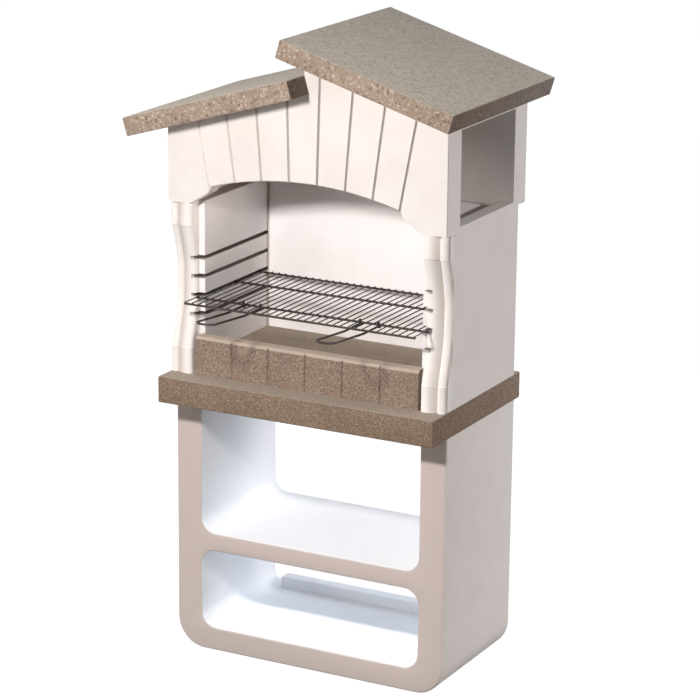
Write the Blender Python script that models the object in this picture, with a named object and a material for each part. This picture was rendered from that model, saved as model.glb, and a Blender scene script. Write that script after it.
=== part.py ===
"""Outdoor masonry barbecue: stacked precast pieces, a fire chamber and a sliding grill.

Metres, +Z up. The origin is on the ground, under the middle of the base. The front faces -Y.
"""
import math

import bmesh
import bpy
from mathutils import Matrix, Vector

# General clearances and small sizes
contact_gap = 0.0003
cut_overrun = 0.010
arris_radius = 0.003
edge_roundness_share = 0.5
arc_steps = 8
rod_sides = 8

# Base
base_width = 0.942
base_depth = 0.477
base_height = 0.832
base_wall_thickness = 0.089
base_floor_thickness = 0.077
base_corner_radius = 0.096
base_opening_radius = 0.050
base_edge_radius = 0.007
shelf_underside_height = 0.333
shelf_thickness = 0.060
rear_rail_height = 0.036
rear_rail_thickness = 0.045

# Worktop
worktop_width = 0.950
worktop_depth = 0.609
worktop_thickness = 0.084
worktop_front_overhang = 0.105
worktop_edge_radius = 0.004

# Fire chamber
chamber_width = 0.950
chamber_depth = 0.497
chamber_height = 0.542
chamber_setback = 0.069
side_panel_thickness = 0.045
side_liner_thickness = 0.054
back_panel_thickness = 0.026
back_liner_thickness = 0.028
hearth_thickness = 0.054

# Grooves that hold the grill
groove_count = 4
groove_height = 0.014
groove_depth = 0.040
groove_pitch = 0.0595
lowest_groove_height = 0.178

# Columns
column_width = 0.079
column_depth = 0.052
column_foot_height = 0.084
column_head_height = 0.074
column_recess_depth = 0.034
column_upper_sweep_share = 0.415
column_lower_sweep_share = 0.470
column_inner_radius = 0.012
column_round_width = 0.034
column_round_depth = 0.0125
column_score_depth = 0.0015
column_bead_width = 0.0265
column_bead_height = 0.0125
column_bead_setback = 0.006
column_side_gap = 0.001
column_head_joint = 0.005
column_sweep_steps = 8
column_round_steps = 6
column_bead_steps = 9
lower_sweep_power = 1.3

# Ember guard
guard_setback = 0.010
guard_height = 0.122
guard_side_gap = 0.0105
guard_edge_radius = 0.012
guard_joint_width = 0.008
guard_joint_depth = 0.004
guard_brick_count = 6

# Hood
hood_rear_overhang = 0.048
hood_front_thickness = 0.062
hood_back_thickness = 0.087
hood_side_thickness = 0.045
arch_half_span = 0.323
arch_rise = 0.046
arch_crown_height = 0.107
arch_steps = 20
corbel_upper_inset = 0.061
corbel_upper_height = 0.037
plank_joint_count = 8
plank_pitch = 0.1018
plank_fan_offset = -0.005
plank_fan_height = 0.232
plank_fan_radius = 1.860
plank_joint_width = 0.008
plank_joint_depth = 0.008
smoke_sill_height = 0.014
smoke_stile_width = 0.025
smoke_rail_height = 0.040

# Roof
roof_slope = math.radians(16.5)
slab_length = 0.593
slab_depth = 0.702
slab_thickness = 0.058
slab_front_overhang = 0.108
slab_edge_radius = 0.004
left_ridge_place = -0.002
left_ridge_height = 0.435
right_ridge_place = -0.026
ridge_step = 0.0515
beam_width = 0.046
beam_ledge_width = 0.045
beam_ledge_height = 0.048
beam_pocket_depth = 0.015

# Grill
grill_side_play = 0.021
grill_depth = 0.453
grill_offset = 0.010
grill_front_place = 0.054
wire_diameter = 0.007
bar_diameter = 0.005
bar_pitch_wanted = 0.0242
bar_end_overhang = 0.003
weld_depth = 0.001
wire_side_overhang = 0.007
front_rest_wire_place = 0.080
rear_rest_wire_place = 0.307
left_handle_first_bar_share = 0.1875
left_handle_gap_count = 3
right_handle_first_bar_share = 0.71875
right_handle_gap_count = 2
handle_reach = 0.205
handle_rise = 0.016
handle_corner_radius = 0.027
hook_steps = 6

# Levels and planes that follow from the sizes above
base_front = -base_depth / 2
base_rear = base_depth / 2
worktop_front = base_front - worktop_front_overhang
worktop_top = base_height + worktop_thickness
chamber_front = worktop_front + chamber_setback
chamber_rear = chamber_front + chamber_depth
chamber_base = worktop_top + contact_gap
chamber_top = worktop_top + chamber_height
chamber_side = chamber_width / 2
column_inner = chamber_side - column_width
liner_outer = chamber_side - side_panel_thickness - contact_gap
liner_inner = chamber_side - side_panel_thickness - side_liner_thickness
chamber_wall_front = chamber_front + column_depth + contact_gap
back_panel_front = chamber_rear - back_panel_thickness
back_liner_front = back_panel_front - back_liner_thickness
hood_base = chamber_top + contact_gap
hood_front_back = chamber_front + hood_front_thickness
hood_rear = chamber_rear + hood_rear_overhang
hood_back_front = hood_rear - hood_back_thickness
groove_bottoms = [worktop_top + lowest_groove_height + n * groove_pitch for n in range(groove_count)]
groove_outer = liner_inner + groove_depth
grooves_below_grill_count = 1
grill_width = 2 * (groove_outer - grill_side_play)
slab_upright_thickness = slab_thickness / math.cos(roof_slope)
ridge_overlap_rise = (left_ridge_place - right_ridge_place) * math.tan(roof_slope)
left_ridge_level = chamber_top + left_ridge_height
right_ridge_level = left_ridge_level + ridge_step + slab_upright_thickness + ridge_overlap_rise

FINISHES = {
    "painted cement render": ((0.79, 0.77, 0.74), 0.75, 0.0),
    "pale cement render": ((0.60, 0.54, 0.50), 0.80, 0.0),
    "exposed granulate": ((0.30, 0.25, 0.20), 0.90, 0.0),
    "brown refractory": ((0.22, 0.17, 0.13), 0.90, 0.0),
    "blackened steel": ((0.06, 0.06, 0.06), 0.45, 0.9),
}


def clear_scene():
    """Remove whatever the scene holds."""
    for item in list(bpy.data.objects):
        bpy.data.objects.remove(item, do_unlink=True)


def make_material(name, finish):
    """A Principled material of its own for one sub-part."""
    colour, roughness, metallic = FINISHES[finish]
    surface = bpy.data.materials.new(name + " " + finish)
    surface.use_nodes = True
    shader = surface.node_tree.nodes["Principled BSDF"]
    shader.inputs["Base Color"].default_value = (*colour, 1.0)
    shader.inputs["Roughness"].default_value = roughness
    shader.inputs["Metallic"].default_value = metallic
    return surface


def add_piece(name, mesh_edit, finish, smooth=False):
    """Turn a bmesh into a named object with its own material."""
    bmesh.ops.recalc_face_normals(mesh_edit, faces=mesh_edit.faces)
    mesh = bpy.data.meshes.new(name)
    mesh_edit.to_mesh(mesh)
    mesh_edit.free()
    if smooth:
        mesh.shade_smooth()
        mesh.set_sharp_from_angle(angle=math.radians(50))
    if finish:
        mesh.materials.append(make_material(name, finish))
    piece = bpy.data.objects.new(name, mesh)
    bpy.context.collection.objects.link(piece)
    return piece


def combine(piece, helper, operation):
    """Join a helper's shape to a piece, or take it out."""
    helper.hide_render = True
    helper.display_type = "WIRE"
    step = piece.modifiers.new(helper.name, "BOOLEAN")
    step.operation = operation
    step.solver = "EXACT"
    step.object = helper


def cut(piece, cutter):
    """Take the cutter's shape out of a piece."""
    combine(piece, cutter, "DIFFERENCE")


def add_box(mesh_edit, low, high):
    """Add a closed box between two corners."""
    size = Vector(high) - Vector(low)
    middle = (Vector(high) + Vector(low)) / 2
    place = Matrix.Translation(middle) @ Matrix.Diagonal((*size, 1.0))
    bmesh.ops.create_cube(mesh_edit, size=1.0, matrix=place)


def box_piece(name, low, high, finish):
    """A box as a piece of its own."""
    mesh_edit = bmesh.new()
    add_box(mesh_edit, low, high)
    return add_piece(name, mesh_edit, finish)


def add_loft(mesh_edit, rings):
    """Add a closed body through rings of points, all with as many points as the first."""
    loops = [[mesh_edit.verts.new(point) for point in ring] for ring in rings]
    mesh_edit.faces.new(list(reversed(loops[0])))
    mesh_edit.faces.new(loops[-1])
    for first, second in zip(loops, loops[1:]):
        for index in range(len(first)):
            following = (index + 1) % len(first)
            mesh_edit.faces.new((first[index], first[following], second[following], second[index]))


def add_prism(mesh_edit, outline, start, end):
    """Add a closed prism from an outline in XZ, between two places along Y."""
    add_loft(mesh_edit, [[(x, place, z) for x, z in outline] for place in (start, end)])


def round_edges(mesh_edit, wanted, radius, segments=2):
    """Round the edges for which wanted(a, b) is true of their two ends."""
    bmesh.ops.recalc_face_normals(mesh_edit, faces=mesh_edit.faces)
    edges = [edge for edge in mesh_edit.edges if wanted(edge.verts[0].co, edge.verts[1].co)]
    bmesh.ops.bevel(mesh_edit, geom=edges, offset=radius, offset_type="OFFSET", segments=segments,
                    profile=edge_roundness_share, affect="EDGES", clamp_overlap=False)


def arc(centre, radius, start, end, steps=arc_steps):
    """Points along an arc, both ends included; angles are in quarter turns."""
    points = []
    for step in range(steps + 1):
        angle = (start + (end - start) * step / steps) * math.pi / 2
        points.append((centre[0] + radius * math.cos(angle), centre[1] + radius * math.sin(angle)))
    return points


def mirrored(points):
    """The same points on the other side of the middle, in reverse order."""
    return [(-point[0], point[1]) for point in reversed(points)]


def same(first, second):
    """True where two coordinates lie in one plane."""
    return abs(first - second) < contact_gap / 2


def both_at(a, b, axis, value):
    """True where both ends of an edge lie in the plane axis = value."""
    return same(a[axis], value) and same(b[axis], value)


# Base

def base_block(name, outline, joint_heights):
    """A cast block of the base, with rounded edges front and rear except along its bed joints."""
    mesh_edit = bmesh.new()
    add_prism(mesh_edit, outline, base_front, base_rear)

    def is_arris(a, b):
        on_face = both_at(a, b, 1, base_front) or both_at(a, b, 1, base_rear)
        in_joint = any(both_at(a, b, 2, height) for height in joint_heights)
        return on_face and not in_joint
    round_edges(mesh_edit, is_arris, base_edge_radius)
    return add_piece(name, mesh_edit, "pale cement render")


def make_base():
    """Floor, low walls, shelf and high walls, stacked one on the other."""
    side = base_width / 2
    inner = side - base_wall_thickness
    floor_top = base_floor_thickness
    shelf_top = shelf_underside_height + shelf_thickness
    floor_joint = max(floor_top + base_opening_radius, base_corner_radius)
    shelf_lower_joint = shelf_underside_height - base_opening_radius
    shelf_upper_joint = shelf_top + base_opening_radius

    corner = arc((side - base_corner_radius, base_corner_radius), base_corner_radius, 3, 4)
    fillet = arc((inner - base_opening_radius, floor_top + base_opening_radius),
                 base_opening_radius, 4, 3)
    right_half = corner + [(side, floor_joint), (inner, floor_joint)] + fillet
    base_block("base_floor", tidy_outline(right_half + mirrored(right_half)), [floor_joint])

    upper_fillet = arc((inner - base_opening_radius, shelf_upper_joint), base_opening_radius, 4, 3)
    lower_fillet = arc((inner - base_opening_radius, shelf_lower_joint), base_opening_radius, 1, 0)
    shelf_low = shelf_lower_joint + contact_gap
    right_half = lower_fillet[:-1] + [(inner, shelf_low), (side, shelf_low)]
    right_half += [(side, shelf_upper_joint), (inner, shelf_upper_joint)] + upper_fillet[1:]
    base_block("base_shelf", tidy_outline(right_half + mirrored(right_half)),
               [shelf_low, shelf_upper_joint])

    levels = {
        "lower": (floor_joint + contact_gap, shelf_lower_joint),
        "upper": (shelf_upper_joint + contact_gap, base_height - contact_gap),
    }
    for level, (low, high) in levels.items():
        for hand, sign in (("left", -1), ("right", 1)):
            outline = [(sign * inner, low), (sign * side, low), (sign * side, high), (sign * inner, high)]
            base_block("base_" + level + "_" + hand + "_wall", outline, [low, high])

    rail_side = inner - base_opening_radius
    rail_low = floor_top + contact_gap
    mesh_edit = bmesh.new()
    rail_front = base_rear - rear_rail_thickness - base_edge_radius
    rail_rear = base_rear - base_edge_radius
    add_box(mesh_edit, (-rail_side, rail_front, rail_low),
            (rail_side, rail_rear, floor_top + rear_rail_height))
    round_edges(mesh_edit, lambda a, b: both_at(a, b, 2, floor_top + rear_rail_height), arris_radius)
    add_piece("base_rear_rail", mesh_edit, "pale cement render")


def tidy_outline(points):
    """Leave out points that repeat the one before them."""
    kept = []
    for point in points:
        if not kept or math.dist(point, kept[-1]) > contact_gap / 2:
            kept.append(point)
    if math.dist(kept[0], kept[-1]) < contact_gap / 2:
        kept.pop()
    return kept


def make_worktop():
    """The thick slab that carries the fire chamber."""
    mesh_edit = bmesh.new()
    add_box(mesh_edit, (-worktop_width / 2, worktop_front, base_height),
            (worktop_width / 2, worktop_front + worktop_depth, worktop_top))
    round_edges(mesh_edit, lambda a, b: True, worktop_edge_radius)
    add_piece("worktop_slab", mesh_edit, "exposed granulate")


# Fire chamber

def make_chamber_panels():
    """The two side panels and the back panel."""
    for hand, sign in (("left", -1), ("right", 1)):
        mesh_edit = bmesh.new()
        inner = sign * (chamber_side - side_panel_thickness)
        outer = sign * chamber_side
        add_box(mesh_edit, (min(inner, outer), chamber_wall_front, chamber_base),
                (max(inner, outer), chamber_rear, chamber_top))

        def is_rear_corner(a, b):
            return both_at(a, b, 1, chamber_rear) and both_at(a, b, 0, outer)
        round_edges(mesh_edit, is_rear_corner, arris_radius)
        add_piece("chamber_" + hand + "_panel", mesh_edit, "painted cement render")
    back_side = chamber_side - side_panel_thickness - contact_gap
    box_piece("chamber_back_panel", (-back_side, back_panel_front, chamber_base),
              (back_side, chamber_rear, chamber_top), "painted cement render")


def liner_outline(sign):
    """Cross-section of a side liner, with its open grooves."""
    outline = [(liner_outer, chamber_base), (liner_outer, chamber_top), (liner_inner, chamber_top)]
    for bottom in reversed(groove_bottoms):
        top = bottom + groove_height
        outline += [(liner_inner, top), (groove_outer, top), (groove_outer, bottom), (liner_inner, bottom)]
    outline.append((liner_inner, chamber_base))
    return [(sign * point[0], point[1]) for point in outline]


def make_liners():
    """Refractory side liners with grooves, and the back liner."""
    for hand, sign in (("left", -1), ("right", 1)):
        mesh_edit = bmesh.new()
        add_prism(mesh_edit, liner_outline(sign), chamber_wall_front, back_panel_front - contact_gap)
        add_piece(hand + "_liner", mesh_edit, "painted cement render")
    side = liner_inner - contact_gap
    box_piece("back_liner", (-side, back_liner_front, chamber_base),
              (side, back_panel_front - contact_gap, chamber_top), "painted cement render")


def make_hearth():
    """The floor of the fire, between the liners, behind the ember guard."""
    side = liner_inner - contact_gap
    box_piece("hearth_slab", (-side, chamber_wall_front, chamber_base),
              (side, back_liner_front - contact_gap, worktop_top + hearth_thickness),
              "brown refractory")


def make_guard():
    """The bar that keeps the embers in, scored like a row of bricks."""
    side = column_inner - guard_side_gap
    front = chamber_front + guard_setback
    rear = chamber_wall_front - contact_gap
    top = worktop_top + guard_height
    mesh_edit = bmesh.new()
    add_box(mesh_edit, (-side, front, chamber_base), (side, rear, top))
    round_edges(mesh_edit, lambda a, b: both_at(a, b, 2, top) and both_at(a, b, 1, front),
                guard_edge_radius, segments=4)
    guard = add_piece("ember_guard", mesh_edit, "brown refractory")
    scores = bmesh.new()
    brick = 2 * side / guard_brick_count
    for number in range(1, guard_brick_count):
        middle = -side + number * brick
        add_score(scores, (middle, chamber_base - cut_overrun), (middle, top + cut_overrun), front,
                  guard_joint_width, guard_joint_depth)
    cut(guard, add_piece("guard_score_cutter", scores, None))


def add_score(mesh_edit, low, high, face, width, depth):
    """Add a wedge that cuts a V groove into the face y = face, from low to high in XZ."""
    along = Vector((high[0] - low[0], 0, high[1] - low[1])).normalized()
    across = Vector((along.z, 0, -along.x))
    spread = 1 + cut_overrun / depth
    half = width / 2 * spread
    rings = []
    for x, z in (low, high):
        middle = Vector((x, face, z))
        mouth = Vector((x, face - cut_overrun, z))
        rings.append([mouth - across * half, mouth + across * half, middle + Vector((0, depth, 0))])
    add_loft(mesh_edit, rings)


# Columns

def column_section():
    """Top view of a column: places in from the outer side, and back from the front.

    The face is rounded off towards a score, and a half-round bead runs beside the outer side.
    """
    bead_middle = column_side_gap + column_bead_width / 2
    bead_back = column_bead_setback + column_bead_height
    score = column_side_gap + column_bead_width
    section = arc((column_width - column_inner_radius, column_inner_radius), column_inner_radius, 0, -1)
    for step in range(column_round_steps + 1):
        share = step / column_round_steps
        section.append((score + column_round_width * (1 - share), column_round_depth * share ** 2))
    section.append((score, column_round_depth + column_score_depth))
    for step in range(column_bead_steps + 1):
        angle = math.pi * (step + 1) / (column_bead_steps + 1)
        section.append((bead_middle + column_bead_width / 2 * math.cos(angle),
                        bead_back - column_bead_height * math.sin(angle)))
    return section


def column_levels():
    """Heights up the column with how far its front lies back at each."""
    foot = worktop_top + column_foot_height
    head = chamber_top - column_head_height
    lower_sweep = (head - foot) * column_lower_sweep_share
    upper_sweep = (head - foot) * column_upper_sweep_share
    levels = [(chamber_base, 0)]
    for step in range(column_sweep_steps + 1):
        share = step / column_sweep_steps
        bend = math.sin(math.pi / 2 * share) ** lower_sweep_power
        levels.append((foot + lower_sweep * share, column_recess_depth * bend))
    for step in range(column_sweep_steps + 1):
        share = 1 - step / column_sweep_steps
        bend = math.sin(math.pi / 2 * share)
        levels.append((head - upper_sweep * share, column_recess_depth * bend))
    levels += [(chamber_top - column_head_joint, 0), (chamber_top, column_head_joint)]
    return levels


def make_columns():
    """The two swept columns beside the mouth of the fire, notched where the grooves run out."""
    section = column_section()
    rear = chamber_front + column_depth
    for hand, sign in (("left", -1), ("right", 1)):
        inner = sign * column_inner
        outer = sign * chamber_side
        rings = []
        for height, recess in column_levels():
            ring = [(inner, rear, height)]
            ring += [(outer - sign * place, chamber_front + recess + depth, height)
                     for place, depth in section]
            ring.append((outer, rear, height))
            rings.append(ring)
        mesh_edit = bmesh.new()
        add_loft(mesh_edit, rings)
        column = add_piece(hand + "_column", mesh_edit, "painted cement render", smooth=True)
        notches = bmesh.new()
        notch_low = min(sign * (liner_inner - cut_overrun), sign * groove_outer)
        notch_high = max(sign * (liner_inner - cut_overrun), sign * groove_outer)
        for bottom in groove_bottoms:
            add_box(notches, (notch_low, chamber_front - cut_overrun, bottom),
                    (notch_high, chamber_wall_front + cut_overrun, bottom + groove_height))
        cut(column, add_piece(hand + "_notch_cutter", notches, None))


# Hood and roof

def ridge(hand):
    """Upper corner of a roof slab's top face, in XZ."""
    if hand == "left":
        return (left_ridge_place, left_ridge_level)
    return (right_ridge_place, right_ridge_level)


def slab_directions(hand):
    """Unit vectors in XZ from the ridge down the slope, and from the top face to the underside."""
    sign = -1 if hand == "left" else 1
    down = (sign * math.cos(roof_slope), -math.sin(roof_slope))
    under = (-sign * math.sin(roof_slope), -math.cos(roof_slope))
    return down, under


def slab_underside(hand, place):
    """Height of a slab's underside at a place along X, less the contact gap."""
    corner = ridge(hand)
    down, under = slab_directions(hand)
    low = (corner[0] + under[0] * (slab_thickness + contact_gap),
           corner[1] + under[1] * (slab_thickness + contact_gap))
    return low[1] + (place - low[0]) * down[1] / down[0]


def slab_end(depth):
    """A point just right of the left slab's upper end, at a depth below its top face."""
    corner = ridge("left")
    down, under = slab_directions("left")
    return (corner[0] + under[0] * depth - down[0] * contact_gap,
            corner[1] + under[1] * depth - down[1] * contact_gap)


def gable_top():
    """Top line of the front and back panels, from right to left."""
    side = chamber_side
    upper_end = slab_end(0)
    lower_end = slab_end(slab_thickness + contact_gap)
    return [(side, slab_underside("right", side)),
            (upper_end[0], slab_underside("right", upper_end[0])),
            upper_end, lower_end,
            (-side, slab_underside("left", -side))]


def arch_line():
    """Corbels and arch from left to right along the front panel's lower edge."""
    crown = chamber_top + arch_crown_height
    radius = (arch_half_span ** 2 + arch_rise ** 2) / (2 * arch_rise)
    half_angle = math.asin(arch_half_span / radius)
    points = [(-column_inner, hood_base),
              (-(column_inner - corbel_upper_inset), hood_base + corbel_upper_height)]
    for step in range(arch_steps + 1):
        angle = half_angle * (2 * step / arch_steps - 1)
        points.append((radius * math.sin(angle), crown - radius + radius * math.cos(angle)))
    points += [(column_inner - corbel_upper_inset, hood_base + corbel_upper_height),
               (column_inner, hood_base)]
    return points


def round_panel(mesh_edit, face):
    """Round a gable panel's upright corners and the edge of its arch on its outer face."""
    def is_arris(a, b):
        upright = both_at(a, b, 0, chamber_side) or both_at(a, b, 0, -chamber_side)
        in_arch = max(abs(a.x), abs(b.x)) < column_inner + contact_gap
        low = max(a.z, b.z) < chamber_top + arch_crown_height + contact_gap
        return both_at(a, b, 1, face) and (upright or (in_arch and low))
    round_edges(mesh_edit, is_arris, arris_radius)


def beam_outline(gap=0.0):
    """Cross-section of the beam under the ridge, with a ledge for the left slab."""
    upper_end = slab_end(0)
    lower_end = slab_end(slab_thickness + contact_gap)
    left = lower_end[0] - beam_ledge_width
    right = lower_end[0] + beam_width
    left_top = slab_underside("left", left)
    bottom = left_top - beam_ledge_height
    return [(left - gap, bottom - gap), (right + gap, bottom - gap),
            (right + gap, slab_underside("right", right) + gap),
            (upper_end[0], slab_underside("right", upper_end[0]) + gap),
            upper_end, lower_end, (left - gap, left_top)]


def make_gable_panels():
    """Front panel with its arch and fan of planks, and back panel, both pocketed for the beam."""
    front_mesh = bmesh.new()
    outline = [(-chamber_side, hood_base)] + arch_line() + [(chamber_side, hood_base)] + gable_top()
    add_prism(front_mesh, outline, chamber_front, hood_front_back)
    round_panel(front_mesh, chamber_front)
    front = add_piece("hood_front_panel", front_mesh, "painted cement render")

    back_mesh = bmesh.new()
    outline = [(-chamber_side, hood_base), (chamber_side, hood_base)] + gable_top()
    add_prism(back_mesh, outline, hood_back_front, hood_rear)
    round_panel(back_mesh, hood_rear)
    back = add_piece("hood_back_panel", back_mesh, "painted cement render")

    pocket = pocket_outline()
    for panel, start, end in ((front, hood_front_back - beam_pocket_depth, hood_front_back + cut_overrun),
                              (back, hood_back_front - cut_overrun, hood_back_front + beam_pocket_depth)):
        cutter = bmesh.new()
        add_prism(cutter, pocket, start, end)
        cut(panel, add_piece(panel.name + "_pocket_cutter", cutter, None))
    cut(front, add_piece("plank_joint_cutter", plank_joints(), None))


def pocket_outline():
    """The beam's cross-section with clearance, open at the top."""
    outline = beam_outline(contact_gap)
    upper_end, lower_end, left_top = outline[4], outline[5], outline[6]
    high = right_ridge_level
    return [outline[0], outline[1], (outline[1][0], high), (upper_end[0] - cut_overrun, high),
            (left_top[0], left_top[1] + cut_overrun), left_top]


def plank_joints():
    """V grooves that fan out over the front panel, as between planks."""
    cutter = bmesh.new()
    level = chamber_top + plank_fan_height
    low = chamber_top - cut_overrun
    high = right_ridge_level
    for number in range(plank_joint_count):
        place = plank_fan_offset + (number - (plank_joint_count - 1) / 2) * plank_pitch
        slope = place / plank_fan_radius
        low_point = (place + (low - level) * slope, low)
        high_point = (place + (high - level) * slope, high)
        add_score(cutter, low_point, high_point, chamber_front, plank_joint_width, plank_joint_depth)
    return cutter


def make_hood_sides():
    """Closed left wall, and a right wall whose opening, up to the back panel, lets the smoke out."""
    front = hood_front_back + contact_gap
    rear = hood_back_front - contact_gap
    inner = chamber_side - hood_side_thickness
    for hand, sign in (("left", -1), ("right", 1)):
        outline = [(sign * inner, hood_base), (sign * chamber_side, hood_base),
                   (sign * chamber_side, slab_underside(hand, sign * chamber_side)),
                   (sign * inner, slab_underside(hand, sign * inner))]
        mesh_edit = bmesh.new()
        add_prism(mesh_edit, outline, front, rear)
        wall = add_piece("hood_" + hand + "_panel", mesh_edit, "painted cement render")
        if hand == "right":
            sill = hood_base + smoke_sill_height
            rail = slab_underside("right", chamber_side) - smoke_rail_height
            opening = bmesh.new()
            add_box(opening, (inner - cut_overrun, front + smoke_stile_width, sill),
                    (chamber_side + cut_overrun, rear + cut_overrun, rail))
            cut(wall, add_piece("smoke_opening_cutter", opening, None))


def make_beam():
    """The beam that carries the upper ends of both roof slabs."""
    start = hood_front_back - beam_pocket_depth + contact_gap
    end = hood_back_front + beam_pocket_depth - contact_gap
    mesh_edit = bmesh.new()
    add_prism(mesh_edit, beam_outline(), start, end)
    add_piece("ridge_beam", mesh_edit, "painted cement render")


def make_roof():
    """Two flat slabs, the right one set higher than the left."""
    front = chamber_front - slab_front_overhang
    for hand in ("left", "right"):
        corner = ridge(hand)
        down, under = slab_directions(hand)
        far = (corner[0] + down[0] * slab_length, corner[1] + down[1] * slab_length)
        drop = (under[0] * slab_thickness, under[1] * slab_thickness)
        outline = [corner, far, (far[0] + drop[0], far[1] + drop[1]),
                   (corner[0] + drop[0], corner[1] + drop[1])]
        mesh_edit = bmesh.new()
        add_prism(mesh_edit, outline, front, front + slab_depth)
        round_edges(mesh_edit, lambda a, b: True, slab_edge_radius)
        add_piece("roof_" + hand + "_slab", mesh_edit, "exposed granulate")


# Grill

def add_rod(mesh_edit, points, diameter, sides=rod_sides):
    """Add a round rod of one thickness through a list of points."""
    rings = []
    aside = (Vector(points[1]) - Vector(points[0])).orthogonal()
    for index, point in enumerate(points):
        before = Vector(points[max(index - 1, 0)])
        after = Vector(points[min(index + 1, len(points) - 1)])
        direction = (after - before).normalized()
        aside = (aside - direction * aside.dot(direction)).normalized()
        upright = aside.cross(direction)
        ring = []
        for number in range(sides):
            angle = 2 * math.pi * (number + 0.5) / sides
            offset = (aside * math.cos(angle) + upright * math.sin(angle)) * diameter / 2
            ring.append(Vector(point) + offset)
        rings.append(ring)
    add_loft(mesh_edit, rings)


def make_grill():
    """Cross wires, fine bars on top of them, and two wire handles, all sliding in a pair of grooves."""
    carriage = bpy.data.objects.new("grill_slide", None)
    wire_height = groove_bottoms[grooves_below_grill_count] + contact_gap + wire_diameter / 2
    front = chamber_front - grill_front_place
    carriage.location = (grill_offset, front + grill_depth / 2, wire_height)
    bpy.context.collection.objects.link(carriage)

    half_depth = grill_depth / 2
    for name, place in (("grill_front_rest_wire", front_rest_wire_place),
                        ("grill_rear_rest_wire", rear_rest_wire_place)):
        wire = bmesh.new()
        add_cross_wire(wire, place - half_depth, grill_width / 2 + wire_side_overhang, 0)
        ride(add_piece(name, wire, "blackened steel", smooth=True), carriage)

    gaps = round((grill_width - bar_diameter) / bar_pitch_wanted)
    pitch = (grill_width - bar_diameter) / gaps
    left = -(grill_width - bar_diameter) / 2
    bar_height = (wire_diameter + bar_diameter) / 2 + contact_gap
    reach = half_depth + wire_diameter / 2 + bar_end_overhang
    bars = bmesh.new()
    for number in range(gaps + 1):
        place = left + number * pitch
        add_rod(bars, [(place, -reach, bar_height), (place, reach, bar_height)], bar_diameter)
    grid = add_piece("grill_grid", bars, "blackened steel", smooth=True)
    ride(grid, carriage)
    welded = bmesh.new()
    for place in (-half_depth, half_depth):
        add_cross_wire(welded, place, grill_width / 2, weld_depth)
    ends = add_piece("grill_end_wires", welded, None, smooth=True)
    ride(ends, carriage)
    combine(grid, ends, "UNION")

    beside = (wire_diameter + bar_diameter) / 2 + contact_gap
    handles = {
        "left": (left_handle_first_bar_share, left_handle_gap_count, beside),
        "right": (right_handle_first_bar_share, right_handle_gap_count, -beside),
    }
    for hand, (share, gap_count, aside) in handles.items():
        first_bar = left + round(share * gaps) * pitch
        last_bar = first_bar + gap_count * pitch
        handle = bmesh.new()
        add_rod(handle, handle_path(first_bar + aside, last_bar - aside, -half_depth), wire_diameter)
        ride(add_piece("grill_" + hand + "_handle", handle, "blackened steel", smooth=True), carriage)


def add_cross_wire(mesh_edit, place, reach, height):
    """Add one of the thick wires that run from side to side."""
    add_rod(mesh_edit, [(-reach, place, height), (reach, place, height)], wire_diameter)


def ride(piece, carriage):
    """Let a piece move with the sliding grill."""
    piece.parent = carriage


def handle_path(left, right, grill_front):
    """A U of wire: hooked over the second wire, under the front one, and rising from there to its tip."""
    below = wire_diameter + contact_gap
    wire_place = grill_front + front_rest_wire_place
    tip = grill_front - handle_reach
    bend = grill_front - wire_diameter

    def grip(x, y):
        """A point of the part that rises beyond the bend."""
        return (x, y, handle_rise * (bend - y) / (bend - tip) - below)

    hook = []
    for step in range(hook_steps + 1):
        angle = math.pi * (step / hook_steps - 0.5)
        hook.append((wire_place + below * math.cos(angle), below * math.sin(angle)))
    leg = [(place, height) for place, height in reversed(hook)]
    path = [(left, place, height) for place, height in leg] + [grip(left, bend)]
    corner_left = (left + handle_corner_radius, tip + handle_corner_radius)
    corner_right = (right - handle_corner_radius, tip + handle_corner_radius)
    path += [grip(x, y) for x, y in arc(corner_left, handle_corner_radius, 2, 3, hook_steps)]
    path += [grip(x, y) for x, y in arc(corner_right, handle_corner_radius, 3, 4, hook_steps)]
    path += [grip(right, bend)] + [(right, place, height) for place, height in reversed(leg)]
    return path


def main():
    """Build the barbecue from the ground up."""
    clear_scene()
    make_base()
    make_worktop()
    make_chamber_panels()
    make_liners()
    make_hearth()
    make_guard()
    make_columns()
    make_gable_panels()
    make_hood_sides()
    make_beam()
    make_roof()
    make_grill()


main()
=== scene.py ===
import math

import bmesh
import bpy
from mathutils import Matrix, Vector


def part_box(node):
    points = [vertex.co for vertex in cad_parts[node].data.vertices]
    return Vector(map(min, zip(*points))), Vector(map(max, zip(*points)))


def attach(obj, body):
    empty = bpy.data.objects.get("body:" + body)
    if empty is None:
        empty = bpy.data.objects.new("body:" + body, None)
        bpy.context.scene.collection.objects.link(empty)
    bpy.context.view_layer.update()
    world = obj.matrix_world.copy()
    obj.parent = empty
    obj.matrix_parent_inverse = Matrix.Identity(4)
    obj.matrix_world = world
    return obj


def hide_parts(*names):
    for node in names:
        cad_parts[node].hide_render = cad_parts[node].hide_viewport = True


# Looks of an outdoor masonry barbecue, in metres, +Z up, with its front towards -Y.

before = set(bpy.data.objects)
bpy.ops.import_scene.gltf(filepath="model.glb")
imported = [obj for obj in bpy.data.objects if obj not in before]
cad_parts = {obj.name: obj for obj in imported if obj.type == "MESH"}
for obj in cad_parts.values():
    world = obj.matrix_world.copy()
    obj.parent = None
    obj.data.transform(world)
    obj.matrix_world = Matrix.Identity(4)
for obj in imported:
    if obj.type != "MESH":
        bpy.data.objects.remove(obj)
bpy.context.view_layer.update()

# Bed gap between castings, and how near counts as the same place
gap = 0.0003

# Castings of the base
base_corner_radius = 0.096
base_opening_radius = 0.050
base_edge_radius = 0.007
base_arc_steps = 20
base_edge_segments = 4
base_smooth_angle = 40

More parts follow.
